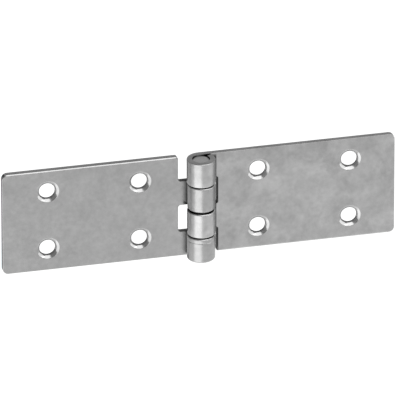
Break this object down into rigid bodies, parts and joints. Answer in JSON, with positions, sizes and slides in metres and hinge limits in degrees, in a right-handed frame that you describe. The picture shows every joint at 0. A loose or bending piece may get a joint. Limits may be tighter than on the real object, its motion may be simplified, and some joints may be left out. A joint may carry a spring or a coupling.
{
  "type": "back-flap hinge",
  "caption": "Flat back-flap hinge: wide countersunk sheet-steel leaves, rolled into interleaved knuckles that turn on a plain captive pin.",
  "frame": {"origin": "on the pin axis at half the height of the leaves, which is the centre of the open hinge's box", "axes": "+Z along the pin, +X across the open leaves towards the leaf with the top knuckle, +Y towards the surface the leaves are screwed to"},
  "size_m": [0.112, 0.0081, 0.0308],
  "materials": {
    "left_leaf_zinc": "dull zinc plate on cold-rolled strip, even grey",
    "right_leaf_zinc": "dull zinc plate on cold-rolled strip, faintly clouded",
    "pin_steel": "drawn wire with cropped ends"
  },
  "bodies": {
    "left_leaf": {"left_leaf": "left_leaf_zinc", "hinge_pin": "pin_steel"},
    "right_leaf": {"right_leaf": "right_leaf_zinc"}
  },
  "joints": [
    {"name": "leaf_swing", "type": "hinge", "parent": "left_leaf", "child": "right_leaf", "pos_m": [0, 0, 0], "axis": [0, 0, 1], "range_deg": [-184, 103]}
  ]
}
